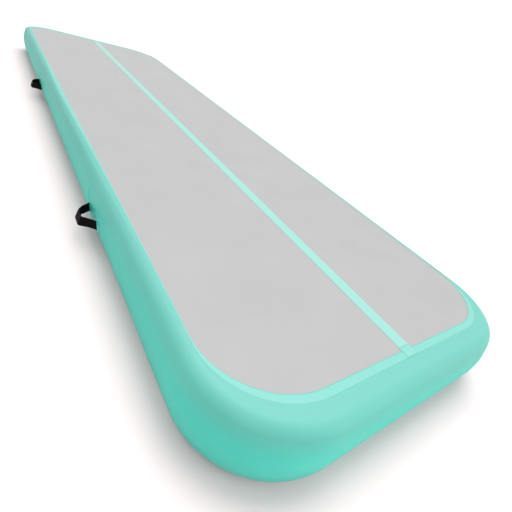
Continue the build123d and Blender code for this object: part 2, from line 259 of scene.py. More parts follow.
def ridge(u, v, start, angle, long, wide):
    """A fold that starts at a point and dies out along its length."""
    du, dv = u - start[0], v - start[1]
    along, off = du * cos(angle) + dv * sin(angle), dv * cos(angle) - du * sin(angle)
    fade = smooth(-0.2 * long, 0.15 * long, along) * (1 - smooth(0.3 * long, long, along))
    return fade * np.exp(-((off / (wide * (0.6 + np.clip(along, 0, long) / long))) ** 2))


# The folds from each of the strap's roots: heading in degrees, length, and height in millimetres
FOLDS = [(50, 0.17, 4.2), (118, 0.14, 3.0), (-58, 0.13, 2.6), (12, 0.15, 1.8)]


def handle_relief(x, y, way):
    """The rise round each handle's patch, the puckers in it and the folds that run from the strap's roots."""
    total = np.zeros(np.broadcast(x, way).shape)
    for number, (side, place) in enumerate(HANDLES.values()):
        u, v = np.broadcast_arrays(y - place, way - way_at(HANDLE_Z))
        on = (x * side > HALF_WIDTH / 2) & (np.abs(u) < 0.6)
        off = rounded_box_distance(u, v, PATCH_HALF, PATCH_ROUND)
        turn = np.arctan2(v / PATCH_HALF[1], u / PATCH_HALF[0])
        ripple = np.cos(11 * turn + 1.3 * np.sin(3 * turn + number)) * np.sin(2 * turn + 0.7 * number + 1)
        shape = 3.6 * MM * (1 - smooth(-0.02, 0.16, off))
        beyond = smooth(-2 * MM, 16 * MM, off)
        shape = shape + 1.8 * MM * ripple * beyond * np.exp(-(((off - 12 * MM) / (26 * MM)) ** 2))
        shape = shape - 2.8 * MM * np.exp(-((u / 0.06) ** 2) - (v / 0.045) ** 2)
        for end in (-1, 1):
            for i, (angle, long, high) in enumerate(FOLDS):
                heading = radians(angle + 9 * sin(5 * i + 2 * number + end))
                heading = heading if end > 0 else pi - heading
                fold = ridge(u, -v, (end * LOOP_ROOT, 0), heading, long, 9 * MM)
                shape = shape + high * MM * beyond * fold
        total = total + np.where(on, shape, 0)
    return total


def relief(x, y, round_way, way):
    """How far the wall stands out from its drawn shape. It is slightly uneven, gathered round the corners and
    at the handles, and never sinks into the band behind it."""
    mid = np.sin(pi * np.clip(way / SECTION_LONG, 0, 1))
    uneven = 0.6 * MM * cloud(round_way, way, (0.42, 0.16), 1)
    uneven = uneven + 0.3 * MM * cloud(round_way, way, (0.11, 0.09), 2)
    corner = smooth(STRAIGHT_Y - 0.1, STRAIGHT_Y + 0.15, np.abs(y))
    corner = corner * smooth(STRAIGHT_X - 0.1, STRAIGHT_X + 0.15, np.abs(x))
    seam_way = way_at(HEIGHT - TAPE_DROP)
    seams = bump_at(way, seam_way, 0.035) + bump_at(way, SECTION_LONG - seam_way, 0.035)
    gathers = 0.8 * MM * corner * seams * cloud(round_way, way, (0.045, 0.2), 3)
    total = (uneven + 0.5 * MM) * mid + gathers + handle_relief(x, y, way)
    valve = np.exp(-((np.hypot(y - VALVE_Y, way - SECTION_LONG / 2) / 0.11) ** 4))
    calm = 1 - np.where(x > HALF_WIDTH / 2, valve, 0)
    ends = smooth(0, 14 * MM, way) * smooth(0, 14 * MM, SECTION_LONG - way)
    return (total + np.sqrt(total**2 + (0.3 * MM) ** 2)) / 2 * calm * ends


def bump_at(value, middle, wide):
    """A soft band of 1 about a middle value."""
    return np.exp(-(((value - middle) / wide) ** 2))


# Meshes


def mesh_object(name, points, faces, fields):
    """A closed, smooth-shaded object from points and faces, with values for its material to read."""
    mesh = bpy.data.meshes.new(name)
    mesh.from_pydata([tuple(p) for p in points], [], faces)
    for key, values in fields.items():
        values = np.asarray(values, np.float32)
        vector = values.ndim == 2
        field = mesh.attributes.new(key, "FLOAT_VECTOR" if vector else "FLOAT", "POINT")
        field.data.foreach_set("vector" if vector else "value", values.ravel())
    work = bmesh.new()
    work.from_mesh(mesh)
    bmesh.ops.recalc_face_normals(work, faces=work.faces)
    for face in work.faces:
        face.smooth = True
    unused = [point for point in work.verts if not point.link_faces]
    bmesh.ops.delete(work, geom=unused, context="VERTS")
    work.to_mesh(mesh)
    work.free()
    made = bpy.data.objects.new(name, mesh)
    bpy.context.scene.collection.objects.link(made)
    return made


def grid_faces(rows, columns, start):
    """Quads over a grid of points that were added row by row, where each row is a loop."""
    faces = []
    for r in range(rows - 1):
        for c in range(columns):
            d = (c + 1) % columns
            a, b = start + r * columns, start + (r + 1) * columns
            faces.append((a + c, b + c, b + d, a + d))
    return faces


def sheet_object(name, outer, inner, fields, opened=None):
    """A sheet round the mat with two faces and a rim at every edge, from its outer and inner points.

    The points are rows, columns and three numbers. Each row is a loop. Opened marks quads to leave out.
    """
    rows, columns = outer.shape[:2]
    count = rows * columns
    points = np.concatenate([outer.reshape(-1, 3), inner.reshape(-1, 3)])
    faces = grid_faces(rows, columns, 0)
    if opened is not None:
        faces = [face for face, left_out in zip(faces, opened.ravel()) if not left_out]
    sides = {side for face in faces for side in zip(face, face[1:] + face[:1])}
    rim = sorted((a, b) for a, b in sides if (b, a) not in sides)
    faces += [tuple(count + i for i in face) for face in faces]
    faces += [(b, a, count + a, count + b) for a, b in rim]
    doubled = {key: np.concatenate([v.reshape(count, *v.shape[2:])] * 2) for key, v in fields.items()}
    return mesh_object(name, points, faces, doubled)


def wall_points(base, outward, round_way, way, depth, lift=0):
    """Points on the wall. Every argument but depth and lift is an array over the same grid."""
    out, up, normal = section(way, depth)
    stand = relief(base[..., 0], base[..., 1], round_way, way) + lift
    out = out + stand * normal[0]
    up = up + stand * normal[1]
    return np.concatenate([base + outward * out[..., None], up[..., None]], -1)


def ring_grid(ways):
    """The stations' grid for a sheet round the whole mat, one row for each way."""
    rows = len(ways)
    base = np.broadcast_to(WIDEST, (rows, *WIDEST.shape))
    outward = np.broadcast_to(OUTWARD, (rows, *OUTWARD.shape))
    round_way = np.broadcast_to(MEASURED, (rows, len(MEASURED)))
    way = np.broadcast_to(np.asarray(ways)[:, None], round_way.shape)
    return base, outward, round_way, way


def grain(*parts):
    """The attribute that a sheet's weave is drawn by: lengths along and across the cloth."""
    first, second = np.broadcast_arrays(*parts)
    return np.stack([first, second, np.zeros(first.shape)], -1)


def painted_sheen_share(way):
    """How much painted sheen the sheet gets, standing in for the surround's reflection: most on top, none by
    the wall's middle.
    """
    return 1 - smooth(-10 * MM, 0.17, way)


def valve_opening(points):
    """Marks the wall's quads that lie over the valve's bore."""
    following = np.roll(points, -1, axis=1)
    middle = (points[:-1] + points[1:] + following[:-1] + following[1:]) / 4
    away = np.hypot(middle[..., 1] - VALVE_Y, middle[..., 2] - HEIGHT / 2)
    return (away < WALL_CUT_R) & (middle[..., 0] > 0)


def side_wall():
    """The band round the mat, whose edges lie under the two border tapes."""
    seam_way = way_at(HEIGHT - TAPE_DROP)
    hidden = np.linspace(0, seam_way - 6 * MM, 9)[:-1]
    shown = np.linspace(seam_way - 6 * MM, SECTION_LONG - seam_way + 6 * MM, 38)
    ways = np.concatenate([hidden, shown, SECTION_LONG - hidden[::-1]])
    base, outward, round_way, way = ring_grid(ways)
    outer = wall_points(base, outward, round_way, way, PANEL_DEPTH)
    inner = wall_points(base, outward, round_way, way, PANEL_DEPTH + PLY)
    # Painted shade along the lines where the wall goes under the border tapes
    seam = 0.15 * (bump_at(way, seam_way, 4 * MM) + bump_at(SECTION_LONG - way, seam_way, 4 * MM))
    # Painted sheen: the wall's top gets a paler tone that stands in for the reflection of the bright surround
    fields = {"grain": grain(round_way, way), "edge": seam, "painted_sheen": painted_sheen_share(way)}
    return sheet_object("side_wall", outer, inner, fields, valve_opening(outer))


def border_grid():
    """The border tape's rows, by their distance from the deck's edge, and the loops of its flat part."""
    shoulder = loop(HALF_WIDTH - SHOULDER_IN, HALF_LENGTH - SHOULDER_IN, CORNER_R - SHOULDER_IN)
    opening = loop(HALF_WIDTH - SIDE_BORDER, HALF_LENGTH - END_BORDER, OPENING_R)
    flat = np.linalg.norm(shoulder - opening, axis=1)
    long = flat + way_at(HEIGHT - TAPE_DROP)
    strip_edge = STRIP_WIDTH + np.array([-0.6, 0.0, 0.9]) * MM
    strip = [[0, 0.25 * MM, 0.8 * MM], np.linspace(2 * MM, STRIP_WIDTH - 1.2 * MM, 12), strip_edge]
    rows = [np.full(len(flat), off) for off in np.concatenate(strip)]
    rows += [strip_edge[-1] + step + 0 * flat for step in np.arange(3, 49, 3) * MM]
    rows += [rows[-1] + share * (long - 3 * MM - rows[-1]) for share in np.linspace(0, 1, 17)[1:]]
    rows += [long - gap for gap in (1.8 * MM, 0.9 * MM, 0.3 * MM, 0)]
    return np.array(rows), flat, long, shoulder, opening


def on_strip(off):
    """1 on the seam strip beside the deck and 0 beyond its edge."""
    return 1 - smooth(STRIP_WIDTH - 1.2 * MM, STRIP_WIDTH + 0.9 * MM, off)


# The creases round the border: place from the deck's edge, height and width, in millimetres
CREASES = [(20, 0.35, 4.0), (48, 0.9, 5.5), (61, -0.6, 5.0), (76, 0.7, 6.5)]


def creases(off, round_way):
    """Fine creases that run lengthwise round the border, where the flat tape was turned over the shoulder."""
    total = 0
    for i, (middle, high, wide) in enumerate(CREASES):
        wander = 5 * MM * cloud(round_way, 0 * off, (0.9, 1), 20 + i)
        strength = smooth(-0.5, 0.5, cloud(round_way, 0 * off, (0.65, 1), 30 + i))
        total = total + high * MM * strength * bump_at(off, middle * MM + wander, wide * MM)
    return total


def border_surface(off, grid, depth, underneath, drop=0):
    """Points of the border tape at these distances from the deck's edge, over the mat or turned under it."""
    flat, shoulder, opening = grid
    round_way = np.broadcast_to(MEASURED, off.shape)
    base = np.broadcast_to(WIDEST, (*off.shape, 2))
    outward = np.broadcast_to(OUTWARD, (*off.shape, 2))
    way = off - flat
    stand = -drop
    down = np.maximum(way, 0)
    if underneath:
        down = SECTION_LONG - down
    else:
        stand = stand + STRIP_PROUD * on_strip(off) + creases(off, round_way) * smooth(2 * MM, 9 * MM, off)
    curved = wall_points(base, outward, round_way, down, depth, stand)
    share = np.clip(off / flat, 0, 1)[..., None]
    height = np.broadcast_to(depth - stand if underneath else HEIGHT - depth + stand, off.shape)
    level = np.concatenate([opening * (1 - share) + shoulder * share, height[..., None]], -1)
    return np.where((way < 0)[..., None], level, curved)


def border_tape(name, underneath):
    """The tape over a shoulder: a flat border round the deck, the shoulder and the wall's edge."""
    off, flat, long, shoulder, opening = border_grid()
    rounded = 0.25 * MM * (1 - smooth(0, 0.8 * MM, off)) + 0.6 * MM * (1 - smooth(0, 3 * MM, long - off))
    outer = border_surface(off, (flat, shoulder, opening), TAPE_DEPTH, underneath, rounded)
    inner = border_surface(off, (flat, shoulder, opening), TAPE_DEPTH + PLY, underneath)
    # Painted shade along the tape's edge at the deck, and fainter along the seam strip's edge
    line = bump_at(off, 0, 3 * MM) + 0.3 * bump_at(off, STRIP_WIDTH + 1.5 * MM, 2 * MM)
    fields = {"grain": grain(MEASURED, off), "edge": line}
    # Painted sheen on the tape's flat top and shoulder: a paler tone for the bright surround's reflection
    fields |= {"strip": on_strip(off), "painted_sheen": painted_sheen_share(off - flat)}
    return sheet_object(name, outer, inner, fields)


# Points in each corner of a rounded rectangle, between its straight sides
TURN_STEPS = 7


def half_outline(short, long):
    """The right half of a rounded rectangle's stations, from its top edge's middle to its bottom edge's."""
    edge = (np.arange(short) + 0.5) / short
    turn = np.linspace(pi / 2, 0, TURN_STEPS + 2)[1:-1]
    side = np.linspace(1, -1, long)
    across = np.concatenate([edge, np.ones(len(turn) * 2 + long), edge[::-1]])
    along = np.concatenate([np.ones(short + len(turn)), side, -np.ones(short + len(turn))])
    ends = np.full(short, pi / 2)
    heading = np.concatenate([ends, turn, np.zeros(long), -turn[::-1], -ends])
    return across, along, heading


def middle_faces(start, count, turned):
    """Faces over a ring: strips from side to side, and one face at each end for its two corners."""
    half = count // 2
    faces = []
    for i in range(turned, half - 1 - turned):
        faces.append((start + i, start + i + 1, start + count - 2 - i, start + count - 1 - i))
    for run in (range(turned + 1), range(half - 1 - turned, half)):
        faces.append([start + i for i in run] + [start + count - 1 - i for i in reversed(run)])
    return faces


def shell(name, half, radius, rings, place, steps=(6, 40)):
    """A closed rounded plate. Each ring is an inset and a height, from under the middle round to over it, and
    place turns a ring's two lengths and height into points."""
    across, along, heading = half_outline(*steps)
    points, grains, edges = [], [], []
    for inset, height in rings:
        r = max(radius - inset, 0.2 * min(inset, half[0] - inset))
        u = across * (half[0] - inset - r) + r * np.cos(heading)
        v = along * (half[1] - inset - r) + r * np.sin(heading)
        u, v = np.concatenate([u, -u[::-1]]), np.concatenate([v, v[::-1]])
        points.append(place(u, v, height))
        grains.append(grain(u, v))
        # Painted shade along each shell's rim, for the cloths that read it
        edges.append(np.full(len(u), bump_at(inset, 0, 2.5 * MM)))
    count = len(points[0])
    faces = grid_faces(len(rings), count, 0)
    for start in (0, (len(rings) - 1) * count):
        faces += middle_faces(start, count, steps[0] + TURN_STEPS - 1)
    fields = {"grain": np.concatenate(grains), "edge": np.concatenate(edges)}
    return mesh_object(name, np.concatenate(points), faces, fields)


def edge_rings(low, high, inner, curve=0.3 * MM):
    """The rings of a plain sheet between two heights: under it, round its rim and over it."""
    rim = [(0.4 * curve, low), (0, low + 0.5 * (high - low))]
    rim += [(0.4 * curve, high - 0.3 * curve), (1.2 * curve, high)]
    return [(i, low) for i in inner[::-1]] + rim + [(i, high) for i in inner]


def flat_place(middle):
    """Places a shell flat, about a middle in plan."""

    def place(u, v, height):
        return np.stack([middle[0] + u, middle[1] + v, np.full(len(u), height)], 1)

    return place


def deck_sheet():
    """The grey sheet on top, between the border tape's shoulders."""
    half = (HALF_WIDTH - SHOULDER_IN - BUTT, HALF_LENGTH - SHOULDER_IN - BUTT)
    insets = [5 * MM, 0.05, 0.15, 0.3, 0.45, 0.6]
    rings = edge_rings(DECK_TOP - PLY, DECK_TOP, insets)
    return shell("deck_sheet", half, CORNER_R - SHOULDER_IN - BUTT, rings, flat_place((0, 0)), (12, 140))


def floor_sheet():
    """The sheet underneath, which steps down to the floor inside the border tape."""
    half = (HALF_WIDTH - SHOULDER_IN - BUTT, HALF_LENGTH - SHOULDER_IN - BUTT)
    step_in = END_BORDER - SHOULDER_IN + BUTT
    low, high = PANEL_DEPTH, PANEL_DEPTH + PLY
    under = [(i, 0.0) for i in (0.6, 0.45, 0.3, 0.2, step_in)]
    rim = [(step_in, low), (0.05, low), (0.3 * MM, low), (0, low + PLY / 2), (0.3 * MM, high)]
    over = [(i, high) for i in (0.05, 0.2, 0.3, 0.45, 0.6)]
    rings = under + rim + over
    return shell("floor_sheet", half, CORNER_R - SHOULDER_IN - BUTT, rings, flat_place((0, 0)), (12, 140))


def stripe_line():
    """The pale stripe down the middle of the deck."""
    low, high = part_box("centre_stripe")
    half = ((high.x - low.x) / 2, (high.y - low.y) / 2)
    rings = edge_rings(DECK_TOP + 0.1 * MM, high.z, [4 * MM, 10 * MM, 20 * MM, 34 * MM])
    return shell("stripe_line", half, 1.5 * MM, rings, flat_place((0, 0)), (5, 200))


def stripe_end(name, node):
    """The tab over the stripe's end, which climbs from the deck on to the border tape."""
    low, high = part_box(node)
    half = ((high.x - low.x) / 2, (high.y - low.y) / 2)
    middle = (low.y + high.y) / 2
    border = HALF_LENGTH - END_BORDER

    def place(u, v, height):
        y = middle + v
        climb = (STRIP_PROUD + PLY + 0.2 * MM) * smooth(border - 5 * MM, border - 0.5 * MM, np.abs(y))
        return np.stack([u, y, DECK_TOP + 0.1 * MM + height + climb], 1)

    insets = [1.5 * MM, 3 * MM, 5 * MM, 8 * MM, 12 * MM, 17 * MM, 23 * MM]
    return shell(name, half, 3 * MM, edge_rings(0, PLY, insets), place, (8, 60))


# The wall's own small pieces


def side_place(side, y, height):
    """Places a shell on a long wall: its short way goes up and its long way along."""

    def place(u, v, depth):
        along = y + v
        base = np.stack([np.full(len(u), side * HALF_WIDTH), along], 1)
        outward = np.broadcast_to([side, 0.0], (len(u), 2))
        return wall_points(base, outward, side_start(side) + side * along, way_at(height) - u, depth)

    return place


def rear_place(x):
    """Places a shell on the rear wall: its short way goes along the wall and its long way up it."""
    start = 2 * STRAIGHT_Y + CORNER_LONG + STRAIGHT_X

    def place(u, v, depth):
        base = np.stack([x + u, np.full(len(u), HALF_LENGTH)], 1)
        outward = np.broadcast_to([0.0, 1.0], (len(u), 2))
        return wall_points(base, outward, start - x - u, SECTION_LONG / 2 - v, depth)

    return place


def joint_strip():
    """The upright strip over the joint in the side band."""
    low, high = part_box("band_joint_strip")
    half = ((high.x - low.x) / 2, SECTION_LONG / 2 - way_at(HEIGHT - TAPE_DROP) - BUTT)
    rings = [(i, PANEL_DEPTH - 0.05 * MM) for i in (26 * MM, 15 * MM, 5 * MM)]
    rings += [(0.1 * MM, PANEL_DEPTH - 0.05 * MM), (0, 0.4 * MM), (0.4 * MM, 0.05 * MM), (1.2 * MM, 0.0)]
    rings += [(i, 0.0) for i in (5 * MM, 15 * MM, 26 * MM)]
    return shell("joint_strip", half, 1 * MM, rings, rear_place((low.x + high.x) / 2), (6, 40))


def patch_depth(u, v):
    """How far a handle's patch stands out: more over the strap's hidden ends, which show through it."""
    pocket = (26 * MM, WEBBING / 2 + 1 * MM)
    off = rounded_box_distance(np.abs(v) - STITCH_MIDDLE, u, pocket, 3 * MM)
    return PATCH_DEPTH + (POCKET_DEPTH - PATCH_DEPTH) * (1 - smooth(-1 * MM, 5 * MM, off))


def handle_patch(name, side, y):
    """The patch glued over the strap's ends, with its rounded rim and the two raised pockets."""
    on_wall = side_place(side, y, HANDLE_Z)

    def place(u, v, share):
        low = PANEL_DEPTH - 0.05 * MM
        return on_wall(u, v, low + share * (patch_depth(u, v) - low))

    half = (PATCH_HALF[1], PATCH_HALF[0])
    inner = np.arange(3, 47, 2.2) * MM
    rings = [(i, 0.0) for i in inner[::-4]] + [(0.1 * MM, 0.0), (0, 0.35), (0.25 * MM, 0.7), (0.9 * MM, 0.93)]
    rings += [(1.8 * MM, 1.0)] + [(i, 1.0) for i in inner]
    return shell(name, half, PATCH_ROUND, rings, place, (8, 130))


def slotted(patch, side, y):
    """The patch with the two slots that the strap comes out through."""
    on_wall = side_place(side, y, HANDLE_Z)
    half_web = WEBBING / 2 + 0.8 * MM
    for end in (-1, 1):
        near, far = (end * (LOOP_ROOT + reach) for reach in (-6.4 * MM, 4.6 * MM))
        u = np.array([-half_web, half_web, half_web, -half_web])
        v = np.array([near, near, far, far])
        points = np.concatenate([on_wall(u, v, depth) for depth in (-12 * MM, 4 * MM)])
        faces = [(0, 1, 2, 3), (4, 5, 6, 7)] + grid_faces(2, 4, 0)
        cutter = mesh_object("slot_cutter", points, faces, {"grain": points})
        cut = patch.modifiers.new("slot", "BOOLEAN")
        cut.operation = "DIFFERENCE"
        cut.solver = "EXACT"
        cut.object = cutter
        shown = patch.evaluated_get(bpy.context.evaluated_depsgraph_get())
        mesh = bpy.data.meshes.new_from_object(shown)
        patch.modifiers.clear()
        patch.data = mesh
        bpy.data.objects.remove(cutter)
    return patch


def valve_surround():
    """The round patch that the valve is set in."""
    place = side_place(1, VALVE_Y, HEIGHT / 2)
    turn = np.linspace(0, 2 * pi, 97)[:-1]
    low, high = PANEL_DEPTH - 0.05 * MM, -STEP
    radii = [(WALL_HOLE_R, low), (40 * MM, low), (VALVE_PATCH_R - 0.1 * MM, low), (VALVE_PATCH_R, -0.1 * MM)]
    radii += [(VALVE_PATCH_R - 0.4 * MM, high + 0.1 * MM), (VALVE_PATCH_R - 1.2 * MM, high)]
    radii += [(r * MM, high) for r in (56, 48, 40, 34, 28)] + [(WALL_HOLE_R, high)]
    points = np.concatenate([place(r * np.cos(turn), r * np.sin(turn), depth) for r, depth in radii])
    grains = np.concatenate([grain(r * np.cos(turn), r * np.sin(turn)) for r, _ in radii])
    # Painted shade round the patch's rim
    edges = np.concatenate([np.full(len(turn), bump_at(r, VALVE_PATCH_R, 2.5 * MM)) for r, _ in radii])
    count = len(radii)
    faces = grid_faces(count, len(turn), 0)
    last = (count - 1) * len(turn)
    for c in range(len(turn)):
        d = (c + 1) % len(turn)
        faces.append((last + c, c, d, last + d))
    return mesh_object("valve_surround", points, faces, {"grain": grains, "edge": edges})


# The handles


def rounded_path(corners, radii, step):
    """Points along straight runs joined by arcs, in a plane."""
    points = [np.array(corners[0])]
    for before, corner, after, radius in zip(corners, corners[1:], corners[2:], radii):
        before, corner, after = np.array(before), np.array(corner), np.array(after)
        a, b = [(end - corner) / np.linalg.norm(end - corner) for end in (before, after)]
        half = np.arccos(np.clip(a @ b, -1, 1)) / 2
        centre = corner + (a + b) / np.linalg.norm(a + b) * radius / sin(half)
        start, end = corner + a * radius / np.tan(half), corner + b * radius / np.tan(half)
        first = atan2(*(start - centre)[::-1])
        sweep = (atan2(*(end - centre)[::-1]) - first + pi) % (2 * pi) - pi
        for share in np.linspace(0, 1, max(6, round(abs(sweep) * radius / step))):
            angle = first + sweep * share
            points.append(centre + radius * np.array([cos(angle), sin(angle)]))
    points.append(np.array(corners[-1]))
    return np.array(points)


def even(points, step):
    """The same line with points a step apart."""
    gone = np.concatenate([[0], np.cumsum(np.linalg.norm(np.diff(points, axis=0), axis=1))])
    at = np.linspace(0, gone[-1], round(gone[-1] / step) + 1)
    return np.stack([np.interp(at, gone, points[:, i]) for i in range(points.shape[1])], 1), at


def normals(line):
    """The direction square to a plane line at each of its points."""
    tangent = np.gradient(line, axis=0)
    tangent /= np.linalg.norm(tangent, axis=1)[:, None]
    return np.stack([-tangent[:, 1], tangent[:, 0]], 1)


def strap_path():
    """The strap's middle line, out from the wall and along it, from one hidden end to the other."""
    hidden = 0.35 * MM
    corners = [
        (hidden, LOOP_ROOT + 40 * MM),
        (hidden, LOOP_ROOT),
        (LOOP_REACH, LOOP_GRIP),
        (LOOP_REACH, -LOOP_GRIP),
        (hidden, -LOOP_ROOT),
        (hidden, -LOOP_ROOT - 40 * MM),
    ]
    return even(rounded_path(corners, [3 * MM, LOOP_R, LOOP_R, 3 * MM], 1.5 * MM), 1.8 * MM)


def webbing_section():
    """The webbing's cross-section: thickness, then height, with shallow ribs and thick rounded edges."""
    height = np.linspace(-1, 1, RIB_POINTS) * (WEBBING / 2 - STRAP / 2)
    ribs = 0.09 * MM * np.cos(height / WEBBING * 2 * pi * 14)
    selvedge = 0.12 * MM * smooth(WEBBING / 2 - 4 * MM, WEBBING / 2 - 2 * MM, np.abs(height))
    half = STRAP / 2 - 0.12 * MM + ribs + selvedge
    turn = np.linspace(pi / 2, -pi / 2, EDGE_POINTS + 2)[1:-1]
    top = [(STRAP / 2 * sin(a), WEBBING / 2 - STRAP / 2 + STRAP / 2 * cos(a)) for a in turn]
    front = list(zip(half, height))
    back = [(-t, h) for t, h in front[::-1]]
    return np.array(front + top + back + [(-t, -h) for t, h in top])


def handle_webbing(name, side, y):
    """One strap from pocket to pocket. It follows the wall where it is hidden and tilts in the loop."""
    line, gone = strap_path()
    normal = normals(line)
    profile = webbing_section()
    loose = smooth(1 * MM, 22 * MM, line[:, 0])
    held = smooth(LOOP_REACH - 40 * MM, LOOP_REACH, line[:, 0])
    thick, height = profile[:, 0], profile[:, 1]
    points, grains = [], []
    for (out, along), (n_out, n_along), free, grip, at in zip(line, normal, loose, held, gone):
        tilt = GRIP_TILT * grip
        droop = -3 * MM * grip
        z = HANDLE_Z + height * cos(tilt) + droop
        lean = wall_in(np.array(HANDLE_Z)) * free + wall_in(z) * (1 - free)
        cupped = 1.5 * MM * grip * (1 - (height / WEBBING * 2) ** 2)
        run = along + (thick + cupped) * n_along
        stand = relief_at(side, y + run, z) * (1 - free)
        x = HALF_WIDTH - lean + out + (thick + cupped) * n_out + height * sin(tilt) + stand
        points.append(np.stack([side * x, y + side * run, z], 1))
        grains.append(grain(np.full(len(height), at), height + 0.06 * np.sign(thick)))
    count = len(profile)
    faces = grid_faces(len(points), count, 0)
    for first in (0, (len(points) - 1) * count):
        faces += webbing_caps(first, count)
    fields = {"grain": np.concatenate(grains)}
    return mesh_object(name, np.concatenate(points), faces, fields)


def flex_point(side, y, reach):
    """The point this far out from the wall at a handle, square to the wall's own slope there."""
    root = HALF_WIDTH - float(wall_in(np.array(HANDLE_Z)))
    slope = float(wall_in(np.array(HANDLE_Z - MM)) - wall_in(np.array(HANDLE_Z + MM))) / (2 * MM)
    return side * (root + reach), y, HANDLE_Z - slope * reach


def webbing_caps(first, count):
    """Quads across the strap's cut end, each joining two facing pairs of points."""
    half = count // 2
    front = [first + i for i in range(RIB_POINTS)]
    back = [first + half + i for i in reversed(range(RIB_POINTS))]
    quads = [(front[i], front[i + 1], back[i + 1], back[i]) for i in range(RIB_POINTS - 1)]
    turned = range(RIB_POINTS, half)
    top = [front[-1]] + [first + i for i in turned] + [back[-1]]
    bottom = [back[0]] + [first + half + i for i in turned] + [front[0]]
    return quads + [tuple(top), tuple(bottom)]


def relief_at(side, y, z):
    """The wall's relief at a place on a long wall."""
    y, way = np.broadcast_arrays(y, way_at(z))
    return relief(np.full(y.shape, side * HALF_WIDTH), y, side_start(side) + side * y, way)


def stitch_rows():
    """The middle of each stitch and its direction, for a box with a cross in it."""
    long, tall = STITCH_BOX
    a, b = long / 2, tall / 2
    lines = [((-a, -b), (a, -b)), ((a, -b), (a, b)), ((a, b), (-a, b)), ((-a, b), (-a, -b)),
             ((-a, -b), (a, b)), ((-a, b), (a, -b))]
    for start, end in lines:
        start, end = np.array(start), np.array(end)
        run = np.linalg.norm(end - start)
        count = round(run / (3.4 * MM))
        for i in range(count):
            yield start + (end - start) * (i + 0.5) / count, (end - start) / run


def handle_seams(name, side, y):
    """The stitches that hold the strap's ends: short arched lengths of thread on the patch."""
    on_wall = side_place(side, y, HANDLE_Z)
    thread, reach = 0.5 * MM, 1.35 * MM
    shares = np.linspace(-1, 1, 5)
    turn = np.linspace(0, 2 * pi, 7)[:-1]
    points, faces, grains = [], [], []
    for end in (-1, 1):
        for (along, up), (t_along, t_up) in stitch_rows():
            middle = end * STITCH_MIDDLE
            for share in shares:
                thin = thread * sqrt(max(1 - share * share * 0.8, 0))
                v = middle + along + t_along * share * reach - t_up * thin * np.cos(turn)
                u = up + t_up * share * reach + t_along * thin * np.cos(turn)
                arch = 0.32 * MM * (1 - share * share) - 0.1 * MM
                points.append(on_wall(u, v, patch_depth(u, v) - arch - thin * np.sin(turn)))
                grains.append(grain(v, u))
            first = (len(points) - len(shares)) * len(turn)
            faces += grid_faces(len(shares), len(turn), first)
            for cap in (first, first + (len(shares) - 1) * len(turn)):
                a, b, c, d, e, f = range(cap, cap + 6)
                faces += [(a, b, c, d), (a, d, e, f)]
    return mesh_object(name, np.concatenate(points), faces, {"grain": np.concatenate(grains)})


def lid_strap():
    """The flexible strip that holds the valve's lid, with a smooth turn from the flange to the lid."""
    low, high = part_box("valve_cap_tether")
    near, far = high.y, low.y
    half = 0.4 * MM
    foot, head = low.x + half, high.x - half
    radius = (head - foot) / 2
    flange_edge = VALVE_Y - FLANGE_EDGE
    corners = [(foot, flange_edge), (foot, far + half), (head, far + half), (head, near)]
    line, gone = even(rounded_path(corners, [radius * 0.98, radius * 0.98], 0.5 * MM), 0.8 * MM)
    normal = normals(line)
    wide = (high.z - low.z) / 2
    middle = (high.z + low.z) / 2
    waist = 1 - 0.25 * np.exp(-(((gone - gone[-1] * 0.45) / (5 * MM)) ** 2))
    points, grains = [], []
    turn = [(1, 1), (0.5, 1), (-0.5, 1), (-1, 1), (-1, -1), (-0.5, -1), (0.5, -1), (1, -1)]
    for (x, y), (nx, ny), narrow, at in zip(line, normal, waist, gone):
        for across, face in turn:
            soft = 0.75 if abs(across) == 1 else 1.0
            t = half * face * soft
            points.append((x + nx * t, y + ny * t, middle + wide * narrow * across))
            grains.append((at, across * wide, 0))
    faces = grid_faces(len(line), 8, 0)
    for first in (0, (len(line) - 1) * 8):
        faces += [(first, first + 1, first + 6, first + 7), (first + 1, first + 2, first + 5, first + 6),
                  (first + 2, first + 3, first + 4, first + 5)]
    return mesh_object("lid_strap", np.array(points), faces, {"grain": np.array(grains)})


def press_spring():
    """The CAD coil again, as a piece of its own."""
    low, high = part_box("valve_spring")
    radius = (high.y - low.y) / 2 - SPRING_WIRE
    middle = ((high.y + low.y) / 2, (high.z + low.z) / 2)
    long = high.x - low.x - 2 * SPRING_WIRE
    lean = atan2(long, 2 * pi * radius * SPRING_TURNS)
    points, grains = [], []
    for share in np.linspace(0, 1, SPRING_STEPS * SPRING_TURNS + 1):
        angle = 2 * pi * SPRING_TURNS * share
        outward = np.array([0, cos(angle), sin(angle)])
        across = np.array([cos(lean), sin(lean) * sin(angle), -sin(lean) * cos(angle)])
        centre = np.array([low.x + SPRING_WIRE + long * share, *middle]) + radius * outward
        for turn in np.arange(SPRING_SIDES) * 2 * pi / SPRING_SIDES:
            points.append(centre + SPRING_WIRE * (cos(turn) * outward + sin(turn) * across))
            grains.append((share, turn, 0))
    last = len(points) - SPRING_SIDES
    faces = grid_faces(len(points) // SPRING_SIDES, SPRING_SIDES, 0)
    faces += [tuple(range(first, first + SPRING_SIDES)) for first in (0, last)]
    return mesh_object("press_spring", np.array(points), faces, {"grain": np.array(grains)})


# Materials


def srgb(red, green, blue):
    """A colour given as it looks on a screen, from 0 to 255, as the linear values that shaders use."""
    parts = [c / 255 for c in (red, green, blue)]
    return tuple(c / 12.92 if c <= 0.04045 else ((c + 0.055) / 1.055) ** 2.4 for c in parts) + (1.0,)


